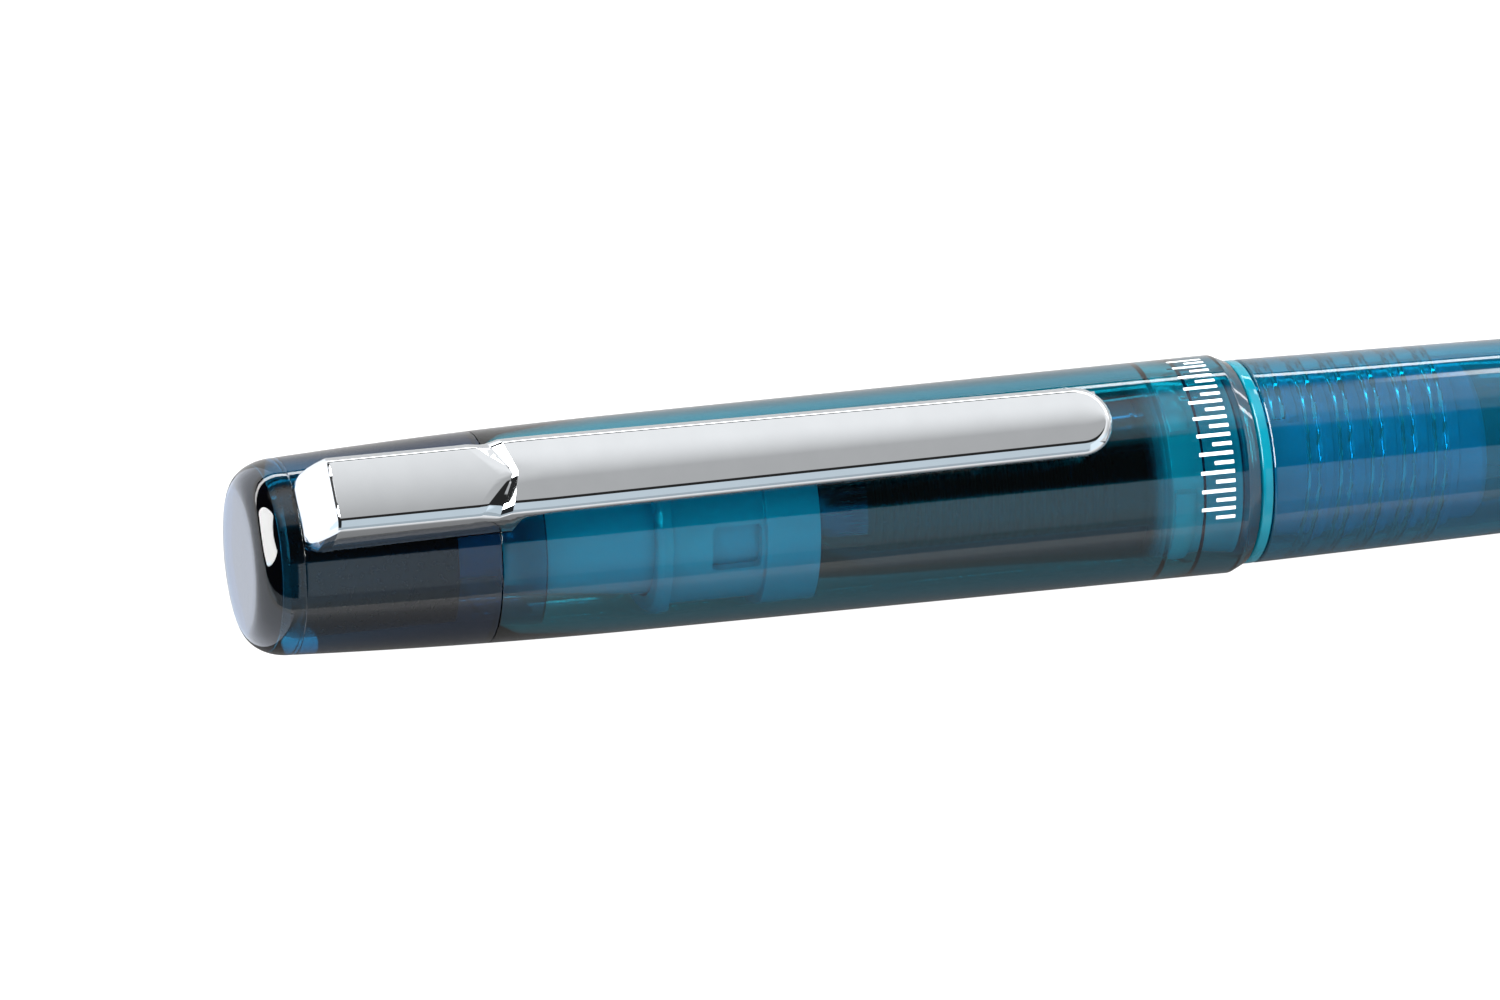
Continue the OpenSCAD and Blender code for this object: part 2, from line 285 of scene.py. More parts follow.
def clear_plastic(name, seen, over_mm, ior, rough=(0.0, 0.02), bump_mm=0.0004, clear=1.0,
                  milk=("#F4FAFC", "#FFFFFF")):
    """Polished injection-moulded plastic with dye in it. White light that has gone through
    over_mm of it has the colour seen, so thick and doubled walls look deeper by themselves.
    Plastic that is less than clear scatters the rest of the light in its milk colours."""
    made, tree, shader, place = finish_of(name, Transmission_Weight=clear, IOR=ior)
    surface(tree, shader, place, milk, 2.5, bump_mm, rough, detail=2.0, stretch=(0.3, 1, 1))
    loss = [-log(max(share, 0.003)) / (over_mm * MM) for share in linear(seen)]
    most = max(loss)
    dye = node(tree, "ShaderNodeVolumeAbsorption", {
        "Density": most, "Color": (*[1 - part / most for part in loss], 1.0)})
    tree.links.new(dye.outputs["Volume"], tree.nodes["Material Output"].inputs["Volume"])
    return made


def opaque_plastic(name, dark, light, grain_mm, rough, bump_mm):
    """Moulded plastic or ink that light doesn't pass, a little uneven in tone and gloss."""
    made, tree, shader, place = finish_of(name, IOR=1.5)
    surface(tree, shader, place, (dark, light), grain_mm, bump_mm, rough)
    return made


def metal(name, dark, light, grain_mm, rough, bump_mm, stretch=(1, 1, 1)):
    """Bare or plated metal: its colour is its reflection, so tone varies only slightly."""
    made, tree, shader, place = finish_of(name, Metallic=1.0)
    surface(tree, shader, place, (dark, light), grain_mm, bump_mm, rough, stretch=stretch)
    return made


def cloudy_behind(finish, steps):
    """Makes a clear plastic cloudier along the pen, where the moulding is thick and cools slowly.
    Each step has the places where it starts and ends, and the share of clearness that it leaves."""
    tree = finish.node_tree
    spot = node(tree, "ShaderNodeTexCoord").outputs["Object"]
    along = node(tree, "ShaderNodeSeparateXYZ", {"Vector": spot}).outputs["X"]
    clear = 1.0
    for start, end, left in steps:
        step = node(tree, "ShaderNodeMapRange", {
            "Value": along, "From Min": at(start, 0, 0).x, "From Max": at(end, 0, 0).x,
            "To Min": 1.0, "To Max": left})
        clear = node(tree, "ShaderNodeMath", {0: step.outputs["Result"], 1: clear},
                     operation="MULTIPLY").outputs[0]
    tree.links.new(clear, tree.nodes["Principled BSDF"].inputs["Transmission Weight"])
    return finish


# Polycarbonate, moulded against polished steel: a hard clear teal that eats all red light.
CAP = clear_plastic("teal_polycarbonate_moulded", "#009AB2", 1.9, 1.585)
# The crown has more of the same dye over a thicker wall and looks almost navy.
CROWN = clear_plastic("navy_polycarbonate_moulded", "#006A90", 1.9, 1.585)
# Copolyester, moulded thin: softer gloss, a brighter teal than the cap, and slightly cloudy.
INNER = clear_plastic("teal_copolyester_moulded", "#30C0D8", 1.4, 1.53, rough=(0.05, 0.12),
                      clear=0.35, milk=("#48CCE8", "#60DCF4"))
# Styrene, moulded thin: a paler aqua, as cloudy, with a slightly sharper gloss.
SLEEVE = clear_plastic("aqua_styrene_moulded", "#40C8DC", 1.2, 1.59, rough=(0.04, 0.1),
                       clear=0.35, milk=("#50D4EC", "#68E4F8"))
# Styrene acrylonitrile, moulded and polished: the clear grip that the fingers hold. The lugs and
# the threaded tube behind it scatter light.
GRIP = cloudy_behind(clear_plastic("teal_san_moulded", "#00ACBC", 2.2, 1.57,
                                   milk=("#48D4E4", "#60ECF8")),
                     ((54.6, 56.0, 0.35), (59.8, 60.6, 0.3)))
# The collar is a thin ring of cloudy acrylic that glows cyan.
COLLAR = clear_plastic("cyan_acrylic_moulded", "#40D4E4", 2.2, 1.49, clear=0.5,
                       milk=("#0C90A8", "#12A2B8"))
# The barrel's polycarbonate holds a bluer dye than the cap's, with a slight haze.
BARREL = clear_plastic("blue_polycarbonate_moulded", "#00D4DD", 1.9, 1.585, clear=0.93,
                       milk=("#0C9ABE", "#14AACE"))
# Polyethylene, blow moulded: a milky grey wall with a waxy surface.
CARTRIDGE = clear_plastic("grey_polyethylene_blown", "#93A8B4", 2.0, 1.51, rough=(0.18, 0.3),
                          bump_mm=0.004, clear=0.7, milk=("#A8B6BE", "#BCC8CE"))
# ABS, moulded and lightly etched so that ink wets it: black with a satin grain.
FEED = opaque_plastic("black_abs_etched", "#05080A", "#0B1013", 0.25, (0.25, 0.45), 0.004)
# Nylon, moulded: the dark plug and pipe have a fine even grain.
PLUG = opaque_plastic("black_nylon_moulded", "#04070C", "#080C14", 0.4, (0.25, 0.35), 0.0004)
# Dye ink: nearly black blue with a wet surface.
INK = opaque_plastic("blue_black_dye_ink", "#020511", "#04091C", 3.0, (0.02, 0.05), 0.0005)
# Steel sheet, stamped, polished and chromium plated: bright, with the faint waviness of polish.
CHROME = metal("chromium_plated_steel_polished", "#D0D3D6", "#D3D6D9", 1.6, (0.03, 0.036), 0.0001)
# Stainless sheet, brushed along the pen before it is bent: fine lines of 0.05 mm drawn at 0.12.
NIB = metal("stainless_steel_brushed", "#B4B7BA", "#CBCDCF", 0.12, (0.16, 0.3), 0.0008,
            stretch=(0.08, 1, 1))
# Hard metal pellet, ground smooth after it is welded on.
PELLET = metal("iridium_alloy_ground", "#A6A8AC", "#B9BBBE", 0.1, (0.15, 0.25), 0.0005)
# Spring wire, drawn through a die, with lines along it.
WIRE = metal("spring_steel_drawn", "#9EA2A6", "#B8BBBE", 0.15, (0.15, 0.28), 0.001)
# Bearing ball, ground and lapped.
BALL = metal("bearing_steel_lapped", "#A9ACB0", "#B7B9BC", 0.5, (0.03, 0.07), 0.0003)
# Ink, pad-printed: a thin matt white layer with a slightly uneven film.
PRINT = opaque_plastic("white_ink_pad_printed", "#E9EEF0", "#FFFFFF", 0.15, (0.4, 0.6), 0.002)


def put(piece, finish, body, slot, *nodes):
    """Gives a piece its finish, hangs it on the empty of the body that it rides on, and hides the
    parts of model.glb that it stands for.
    """
    piece.data.materials.clear()
    piece.data.materials.append(finish)
    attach(piece, body)
    if nodes:
        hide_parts(*nodes)
    return piece


# ---------------------------------------------------------------- cap

def clear_cap():
    """The cap tube, a tapered clear tube with a chamfered lip and a snap groove inside."""
    bore, snap = 5.65, 0.2
    outline = [(a, cap_radius(a)) for a in (14.4, 16, 18, 20, 22, 24, 28, 34, 40, 48, 54, 60.35)]
    outline += [(LIP, 6.2), (LIP, bore + 0.12), (60.7, bore)]
    outline += [(57.8, bore), (57.6, bore + snap), (55.7, bore + snap), (55.4, bore)]
    outline += [(a, bore) for a in (50, 40, 30, 22, 14.4)]
    return turned("clear_cap", eased(outline, 0.06), steps=FINE)


def clear_crown():
    """The crown: a rounded end, a hairline parting line, a spigot that goes into the cap tube,
    and the slot that the clip's foot goes through."""
    edge, face = 2.5, 4.1                    # depth of the rounded edge, radius of the flat face
    bore, spigot, wall = 4.95, 5.6, 1.5
    side = cap_radius(edge)
    outline = [(0, 0), (0, 2.0), (0, 3.4)]
    outline += [(edge * (1 - cos(radians(t))), face + (side - face) * sin(radians(t)))
                for t in range(0, 90, 6)]
    lip, hairline = 0.004, 0.025             # depths of the parting line's edges and its middle
    outline += [(edge, side), (2.62, cap_radius(2.6) - lip), (2.66, cap_radius(2.6) - hairline),
                (2.7, cap_radius(2.7) - lip)]
    outline += [(a, cap_radius(a)) for a in (3.2, 4, 5, 6.5, 8, 10, 12, 14.35)]
    outline += [(14.35, spigot), (17.25, spigot)] + [(a, bore) for a in (17.25, 12, 8, wall)]
    outline += [(wall, 2.5), (wall, 0)]
    crown = turned("clear_crown", eased(outline, 0.05), steps=FINE, smooth_below=25)
    return cut(crown, block("slot", (2.95, -1.65, 3), (4.6, 1.65, 8), ease=0.15), smooth_below=25)


def inner_seal_cap():
    """The closed inner cap: a stem for its spring, a rounded nose and a cup that seals the nib."""
    nose = [(15 + 1.5 * (1 - cos(radians(t))), 2.4 + 1.25 * sin(radians(t)))
            for t in (15, 30, 45, 60, 75, 90)]
    outline = [(9.6, 0), (9.6, 2.1), (9.9, 2.4), (15, 2.4)] + nose
    outline += [(24, 4.35), (34, 4.35), (34, 3.6), (24, 3.6), (16.6, 2.9), (16.2, 2.5), (16.2, 0)]
    return turned("inner_seal_cap", eased(outline, 0.08))


def guide_sleeve():
    """The windowed sleeve that the inner cap slides in, with a flange and a mouth ring."""
    outline = [(24, 4.45), (24, 5.3), (24.3, 5.6), (24.9, 5.6), (24.9, 5.1), (30.6, 5.1),
               (30.6, 5.6), (33.9, 5.6), (33.9, 4.45)]
    sleeve = turned("guide_sleeve", eased(outline, 0.08))
    tools = []
    for turn in (48, 138, 228, 318):
        tool = block("window", (27.4, -1.3, 3), (30.4, 1.3, 7), ease=0.25)
        spin = Matrix.Translation((0, 0, AXIS)) @ Matrix.Rotation(radians(turn), 4, "X")
        tool.data.transform(spin @ Matrix.Translation((0, 0, -AXIS)))
        tools.append(tool)
    return cut(sleeve, *tools)


def coil_spring():
    """Round spring wire wound in six and a half coils, with most of a coil flat at each end."""
    coils, steps_a_coil, sides = 6.5, 24, 10
    wire, radius = 0.17, 1.93                # the wire's own radius, and that of its middle line
    front, back = 4.64, 9.36
    flat_share = 0.12
    count = int(coils * steps_a_coil)
    rings = []
    for i in range(count + 1):
        share = i / count
        risen = min(max((share - flat_share) / (1 - 2 * flat_share), 0), 1)
        place = front + (back - front) * risen
        rings.append([about(place + wire * sin(2 * pi * k / sides),
                            radius + wire * cos(2 * pi * k / sides), 360 * coils * share)
                      for k in range(sides)])
    return looped("coil_spring", rings, round_trip=False, ends=True, smooth_below=60)


# ---------------------------------------------------------------- clip

def pocket_clip():
    """Stamped sheet: a pad with a slanted end, a V groove, and a long tongue with rolled edges
    and a round tip. Each row is the sheet's section, and the rows follow its outline."""
    sheet = 0.45                             # thickness
    roll, roll_steps = 0.6, 10               # radius of the rolled edges
    blunt = 1.45                             # their curve: 1 would be round
    shares = [0.98] + [1 - k / 6 for k in range(1, 12)] + [-0.98]     # points across the face
    pad_half, pad, tongue = 2.4, 8.58, 8.785
    tip_half, tip_end = 2.2, 51.9
    tip_at = tip_end - tip_half
    apex = 15.05                             # of the V groove
    pad_swell, swell = 0.02, 0.055           # crowning of the pad's face and of the tongue's
    wall_end = 8.0                           # low edge of the tongue's walls

    # place, half width, top, low edge, groove depth, V slope, outward turn, crowning of the face
    stations = []
    for a, half, top, low in (
            (2.65, 1.75, 6.05, 5.35), (2.75, 2.0, 6.25, 5.3), (3.0, 2.22, 6.65, 5.3),
            (3.4, 2.36, 7.26, 5.35), (3.8, pad_half, 7.87, 5.35), (4.22, pad_half, 8.5, 5.4),
            (4.24, pad_half, 8.525, 5.4), (4.37, pad_half, 8.573, 5.45)):
        stations.append((a, half, top, low, 0.0, 0.0, 90, 0.0))
    for a in (4.39, 4.5, 7, 8.5, 10, 11.5):
        stations.append((a, pad_half, pad, 5.5, 0.0, 0.0, 90, pad_swell))
    for a, slope in ((12.6, 0.35), (13.4, 0.6), (14.2, 0.8)):
        stations.append((a, pad_half, pad, 5.6, 0.0, slope, 90, pad_swell))
    stations += [(apex - 0.12, 2.41, pad, 5.7, 0.0, 0.93, 90, pad_swell),
                 (apex, 2.42, pad, 5.75, 0.03, 0.92, 90, pad_swell),
                 (apex + 0.05, 2.42, pad + 0.02, 5.9, 0.26, 0.62, 90, pad_swell),
                 (apex + 0.1, 2.43, pad + 0.06, 6.2, 0.3, 0.5, 90, pad_swell),
                 (apex + 0.2, 2.44, tongue - 0.06, 6.8, 0.04, 0.32, 90, 0.03),
                 (apex + 0.32, 2.45, tongue - 0.01, 7.3, 0.0, 0.3, 90, 0.05),
                 (apex + 0.8, 2.46, tongue, 7.7, 0.0, 0.2, 90, swell)]
    taper_from, taper_half, narrowing = 17, 2.47, 0.27
    for a in between(taper_from, tip_at - 1, 24):
        half = taper_half - narrowing * (a - taper_from) / (tip_at - taper_from)
        stations.append((a, half, tongue, wall_end, 0.0, 0.0, 90, swell))
    for turn in range(90, -1, -6):
        stations.append((tip_at, tip_half, tongue, wall_end, 0.0, 0.0, turn, swell))

    rings = []
    for a, half, top, low, groove, slope, turn, crowning in stations:
        out = (cos(radians(turn)), sin(radians(turn)))
        curve = roll if top > 8 else roll * max(0.4, (top - 5.6) / 3)

        def section(offset):
            """The sheet's face at an offset, from the low edge of one wall to the other's."""
            bend = max(curve - offset, 0.12)
            side = [(a + (half - offset) * out[0], (half - offset) * out[1], low)]
            for k in range(roll_steps + 1):
                t = radians(90 * k / roll_steps)
                reach = half - offset - bend * (1 - abs(cos(t)) ** blunt)
                side.append((a + reach * out[0], reach * out[1],
                             top - offset - bend * (1 - sin(t) ** blunt)))
            x, edge, height = side[-1]
            face = []
            for share in shares:
                rise = crowning * (1 - share ** 2) * min(1, edge / 1.8)
                face.append((x, edge * share, height + rise))
            return side + face + [(x, -y, z) for x, y, z in reversed(side)]

        outer, inner = section(0), section(sheet)
        ring = []
        for x, y, z in outer + list(reversed(inner)):
            above = min(1, max(0, (z - 7.4) / 0.6))
            shift = slope * abs(y) * above
            sunk = groove * min(1, abs(y) / 2.0) * above
            ring.append(at(x - shift, -y, z - sunk))
        rings.append(ring)
    sheet_metal = looped("sheet", rings, round_trip=False, ends=True)

    foot = looped("foot", [[at(x, y, h) for x, h in (
        (3.3, 6.9), (3.3, 4.1), (3.4, 3.8), (3.7, 3.7), (8.0, 3.7), (8.0, 4.3), (4.2, 4.3),
        (4.0, 4.5), (4.0, 6.9))] for y in (-1.4, 1.4)], round_trip=False, ends=True)
    bump_at, bump_r, bump_top = 47.7, 5.0, 8.6
    low = cap_radius(bump_at) + 0.1
    arc = [(bump_at + bump_r * sin(radians(t)), low + bump_r * (1 - cos(radians(t))))
           for t in range(-42, 43, 4)]
    bump_rings = []
    for y, trim in ((-1.65, 0.22), (-1.6, 0.08), (-1.45, 0.0), (1.45, 0.0), (1.6, 0.08),
                    (1.65, 0.22)):
        bump_rings.append([at(x, y, h + trim) for x, h in arc]
                          + [at(arc[-1][0], y, bump_top), at(arc[0][0], y, bump_top)])
    bump = looped("bump", bump_rings, round_trip=False, ends=True)
    return joined("stamped_clip", sheet_metal, foot, bump, smooth_below=21)


# ---------------------------------------------------------------- section and nib

def thread(front, turns, root, height, base, crest):
    """A right-hand thread: gives the radius at a place and turn near the thread's root. The
    ridge stands up from its base's width to its crest's, inward where the height is negative."""
    def shape(place, radius, turn):
        if abs(radius - root) > 0.02:
            return radius
        wound = (place - front) / PITCH - (360 - turn) / 360
        nearest = round(wound)
        if nearest < 0 or nearest + (360 - turn) / 360 > turns:
            return radius
        off = abs(wound - nearest) * PITCH
        rise = min(1, max(0, (base / 2 - off) / ((base - crest) / 2)))
        return radius + height * (3 - 2 * rise) * rise ** 2
    return shape


def grip_section():
    """The clear grip, its four snap lugs and the threaded tube that screws into the barrel."""
    lug_low, lug_high, lug_half, first_lug = 5.2, 5.6, 27, 66     # the last two in degrees
    tube, bore = 4.7, 3.95
    outline = [(34.1, 3.4), (34.1, 4.0), (34.35, 4.2), (35.0, 4.45), (38, 4.6), (46, 4.8), (53, 5.1)]
    outline += [(a, lug_low) for a in (55.98, 56.0, 56.25, 57.05, 57.3, 57.32)]
    outline += [(60.2, 5.3), (60.2, tube), (62.5, tube)]
    outline += [(a, tube) for a in between(62.6, 75.0, 124)]
    outline += [(75.6, tube), (76, 4.4), (76, bore), (58.6, bore), (58.6, 1.65), (57.1, 1.65),
                (57.1, 3.4)]
    ridges = thread(64, 5.5, tube, 0.35, 0.8, 0.4)

    def shape(place, radius, turn):
        if 55.99 < place < 57.31 and abs(radius - lug_low) < 0.02:
            off = min(abs((turn - first_lug - 90 * k + 180) % 360 - 180) for k in range(4))
            edge = 0.15 if place < 56.1 or place > 57.2 else 0
            return lug_high - edge if off < lug_half else radius
        return ridges(place, radius, turn)
    return turned("grip_section", eased(outline, 0.08), steps=THREADED, shape=shape)


def cyan_collar():
    """The ring between the cap's lip and the barrel, with a step that the lip goes over."""
    outline = [(60.3, 4.75), (60.3, 5.3), (60.45, 5.45), (61.3, 5.45), (61.3, 6.0), (61.45, 6.15),
               (62, 6.15), (62, 4.75)]
    return turned("cyan_collar", eased(outline, 0.1), steps=FINE)


def upright_tool(name, place, radius):
    """A round tool that stands through the nib, to cut its hole."""
    sides, foot, top = 32, 0.5, 5
    rings = [[at(place + radius * cos(2 * pi * k / sides), radius * sin(2 * pi * k / sides), h)
              for k in range(sides)] for h in (foot, top)]
    return looped(name, rings, round_trip=False, ends=True)


def steel_nib():
    """Bent sheet: two tines with a slit, a breather hole, shoulders and a tail in the grip."""
    thick, front, full = 0.25, 17.4, 31      # full: where the sheet reaches its full radius
    tip_r, full_r = 1.6, 3.3
    finer, across = 4, 16                    # rows between two widths, and steps across a row
    widths = [(17.4, 0.35), (19, 0.62), (21, 1.0), (23, 1.5), (25, 2.0), (27, 2.4), (29, 2.75),
              (31, 2.9), (32, 2.86), (33, 2.8), (35, 2.8), (37.4, 2.8)]
    rings = []
    for i in range((len(widths) - 1) * finer + 1):
        k = min(i // finer, len(widths) - 2)
        t = i / finer - k
        place = widths[k][0] + t * (widths[k + 1][0] - widths[k][0])
        half = widths[k][1] + t * (widths[k + 1][1] - widths[k][1])
        outer = tip_r + (full_r - tip_r) * min(1, (place - front) / (full - front))
        reach = degrees(asin(min(0.95, half / outer)))
        turns = between(-reach, reach, across)
        rings.append([about(place, outer, t) for t in turns]
                     + [about(place, outer - thick, t) for t in reversed(turns)])
    nib = looped("steel_nib", rings, round_trip=False, ends=True, smooth_below=50)
    hole_at = 26
    hole = upright_tool("hole", hole_at, 0.55)
    slit = block("slit", (16, -0.06, 0.5), (hole_at, 0.06, 5))
    return cut(nib, slit, hole, smooth_below=50)


def comb_feed():
    """The feed: a tapered front under the nib, 22 thin fins and an air channel along the top."""
    fins, first, spacing, thick = 22, 38.3, 0.65, 0.35
    core, fin, plug_bore = 2.3, 3.33, 1.65
    channel_half, channel_from = 5, 37.9     # the channel's half width in degrees, and its start
    outline = [(21.5, 0), (21.5, 0.9), (22.5, 1.95), (31, 3.0), (37.95, 3.0), (37.95, core)]
    for i in range(fins):
        a = first + i * spacing
        outline += [(a, core), (a, fin), (a + thick, fin), (a + thick, core)]
    outline += [(52.6, core), (52.6, fin), (56.4, fin), (56.9, 2.83), (56.9, plug_bore),
                (52.95, plug_bore), (52.95, 0)]

    def shape(place, radius, turn):
        side = min(turn, 360 - turn)
        if side < channel_half and radius > core and place > channel_from:
            return core
        return radius
    return turned("comb_feed", eased(outline, 0.05), steps=144, shape=shape)


# ---------------------------------------------------------------- cartridge and barrel

def ink_cartridge():
    """The ink cartridge: a neck that the ink pipe goes into, a long tube and a domed end."""
    neck_bore, wide, bore = 1.67, 3.7, 3.2
    outline = [(71.3, neck_bore), (71.3, 2.6), (73.3, 2.6), (73.3, 3.4), (73.6, wide), (90, wide),
               (110, wide), (127.8, wide), (128.7, 3.1), (129, 2.4), (129, 0), (128.4, 0)]
    outline += [(a, bore) for a in (128.4, 110, 90, 75.3)] + [(75.3, neck_bore)]
    return turned("ink_cartridge", eased(outline, 0.12), steps=128)


def ink_fill():
    """Ink inside the cartridge, up to a level surface over the axis."""
    level, radius, front, back, sides = 1.4, 3.17, 75.33, 128.37, 96
    outline = []
    for k in range(sides):
        turn = radians(360 * k / sides)
        outline.append((-radius * sin(turn), min(radius * cos(turn), level)))
    rings = [[at(place, across * share, height * share) for across, height in outline]
             for place, share in ((front, 0.0), (front, 0.5), (front, 1), (90, 1), (110, 1),
                                  (back, 1), (back, 0.5), (back, 0.0))]
    return looped("ink_fill", rings, round_trip=False, smooth_below=25)


def blue_barrel():
    """The barrel: a long taper to a rounded tail, with the female thread inside its mouth."""
    root, tail_edge, tail_face, wall = 5.2, 1.6, 3.1, 0.85
    side_end = TAIL - tail_edge
    outline = [(MOUTH, root), (MOUTH, 6.05), (62.2, 6.15)]
    outline += [(a, barrel_radius(a)) for a in (66, 70, 75, 80, 90, 100, 112, 124, 130, side_end)]
    outline += [(TAIL - tail_edge * (1 - sin(radians(t))),
                 tail_face + (barrel_radius(side_end) - tail_face) * cos(radians(t)))
                for t in range(8, 90, 8)]
    outline += [(TAIL, tail_face), (TAIL, 1.5), (TAIL, 0)]
    outline += [(side_end, 0), (side_end, 2.8), (135.6, 3.5)]
    outline += [(a, barrel_radius(a) - wall) for a in (134.5, 124, 112, 100, 90, 80)]
    outline += [(77, root)] + [(a, root) for a in between(75.4, 62.6, 128)]
    return turned("blue_barrel", eased(outline, 0.05), steps=THREADED,
                  shape=thread(63, 5.5, root, -0.35, 1.0, 0.3))


def lip_marks():
    """A row of plain white bars printed round the cap near its lip, long and short in turn."""
    bars, first, spacing, half = 22, -50, 4.9, 0.95          # the last three in degrees
    rear, long_front, short_front = 59.45, 57.35, 58.25
    underside, film = 0.002, 0.014                           # heights over the cap
    points, faces = [], []
    for i in range(bars):
        middle = first + i * spacing
        start = len(points)
        for turn in (middle - half, middle, middle + half):
            for place in (long_front if i % 2 == 0 else short_front, rear):
                for lift in (underside, film):
                    points.append(about(place, cap_radius(place) + lift, turn))
        for k in (0, 4):
            a = start + k
            faces += [(a, a + 4, a + 6, a + 2), (a + 1, a + 3, a + 7, a + 5),
                      (a, a + 1, a + 5, a + 4), (a + 2, a + 6, a + 7, a + 3)]
        faces += [(start, start + 2, start + 3, start + 1),
                  (start + 8, start + 9, start + 11, start + 10)]
    return as_piece("lip_marks", points, faces)


# ---------------------------------------------------------------- the pen

put(clear_cap(), CAP, "cap", "cap_plastic", "cap_tube")
put(clear_crown(), CROWN, "cap", "crown_plastic", "crown")
put(lip_marks(), PRINT, "cap", "cap_plastic")
put(guide_sleeve(), SLEEVE, "cap", "sleeve_plastic", "cap_sleeve")
spring = put(coil_spring(), WIRE, "cap", "spring_steel", "seal_spring")
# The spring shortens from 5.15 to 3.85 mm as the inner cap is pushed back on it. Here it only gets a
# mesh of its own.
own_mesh(spring)
put(inner_seal_cap(), INNER, "inner_cap", "inner_cap_plastic", "inner_cap")
put(pocket_clip(), CHROME, "clip", "clip_steel", "clip")
put(grip_section(), GRIP, "section", "section_plastic", "section")
put(steel_nib(), NIB, "section", "nib_steel", "nib")
put(comb_feed(), FEED, "section", "feed_plastic", "feed")
put(cyan_collar(), COLLAR, "collar", "collar_plastic", "collar_ring")
put(blue_barrel(), BARREL, "barrel", "barrel_plastic", "barrel")
put(ink_cartridge(), CARTRIDGE, "cartridge", "cartridge_plastic", "cartridge")
put(ink_fill(), INK, "cartridge", "ink", "ink")
for kept, finish in (("crown_insert", PLUG), ("ink_pipe", PLUG), ("nib_tip", PELLET),
                     ("cartridge_ball", BALL)):
    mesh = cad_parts[kept].data
    mesh.materials.clear()
    mesh.materials.append(finish)


# ---------------------------------------------------------------- floor, light and camera

def glowing(name, code, glow, strength, near=None):
    """A matt surface that also gives off an even light, as a lit product table does. With near,
    its strength changes between the first two distances across, and ends at the third value; the
    cards use this to paint the pen's shadow, dimmer close to the pen."""
    made, tree, shader, place = finish_of(name, IOR=1.45)
    surface(tree, shader, place, (code, code), 40.0, 0.01, (0.85, 0.95))
    shader.inputs["Emission Color"].default_value = colour(glow)
    shader.inputs["Emission Strength"].default_value = strength
    if near:
        across = node(tree, "ShaderNodeSeparateXYZ", {"Vector": place}).outputs["Y"]
        fade = node(tree, "ShaderNodeMapRange", {
            "Value": across, "From Min": near[0], "From Max": near[1],
            "To Min": strength, "To Max": near[2]})
        tree.links.new(fade.outputs["Result"], shader.inputs["Emission Strength"])
    return made


def level_sheet(name, x, y, z, finish):
    """A level sheet from x[0] to x[1] and y[0] to y[1], in metres."""
    corners = [(x[0], y[0], z), (x[1], y[0], z), (x[1], y[1], z), (x[0], y[1], z)]
    mesh = bpy.data.meshes.new(name)
    mesh.from_pydata(corners, [], [(0, 1, 2, 3)])
    mesh.materials.append(finish)
    sheet = placed(name, mesh)
    return sheet


EDGE = 3                                                     # half width of the table
level_sheet("floor", (-EDGE, EDGE), (-EDGE, EDGE), 0.0,
            glowing("white_acrylic_table", "#707070", "#FFFFFF", 1.0))
# Cards lie on the floor round the pen. One shows only through its plastic. The others show only in
# its gloss: one is a painted shadow of the pen, dark near the pen and lighter towards the viewer,
# one behind, one at the cap's end.
shadow_gloss_card = level_sheet("shadow_gloss_card", (FRONT, 0.6), (-0.5, 0.010), 0.0002,
                         glowing("painted_shadow_seen_in_gloss", "#202020", "#FFFFFF", 1.0, near=(-0.08, 0.0, 0.1)))
# This card shows only through the plastic: a painted shadow of the pen, dim under and in front of it
# and brighter behind.
shadow_under_card = level_sheet("shadow_under_card", (FRONT + 5 * MM, EDGE), (-EDGE, EDGE), 0.0003,
                         glowing("painted_shadow_under_pen", "#202020", "#FFFFFF", 0.12,
                                 near=(0.006, 0.022, 0.8)))
end_card = level_sheet("end_card", (-0.3, FRONT), (-0.1, 0.1), 0.0002,
                       glowing("white_card", "#202020", "#E9EFFA", 1.66))
back_card = level_sheet("back_card", (FRONT, 0.6), (0.0102, 0.5), 0.0002,
                        glowing("pale_card", "#202020", "#FFFFFF", 0.75))
for card in (shadow_gloss_card, shadow_under_card, end_card, back_card):
    card.visible_camera = False
    card.visible_diffuse = False
    card.visible_shadow = False
    card.visible_glossy = card is not shadow_under_card
    card.visible_transmission = card is shadow_under_card


def softly_within(tree, value, low, high, soft):
    """1 where a value lies between low and high, with a soft edge, and 0 outside."""
    rise = node(tree, "ShaderNodeMapRange", {
        "Value": value, "From Min": low - soft, "From Max": low + soft},
        interpolation_type="SMOOTHSTEP")
    fall = node(tree, "ShaderNodeMapRange", {
        "Value": value, "From Min": high - soft, "From Max": high + soft,
        "To Min": 1.0, "To Max": 0.0}, interpolation_type="SMOOTHSTEP")
    both = node(tree, "ShaderNodeMath", {0: rise.outputs["Result"], 1: fall.outputs["Result"]},
                operation="MULTIPLY")
    return both.outputs["Value"]


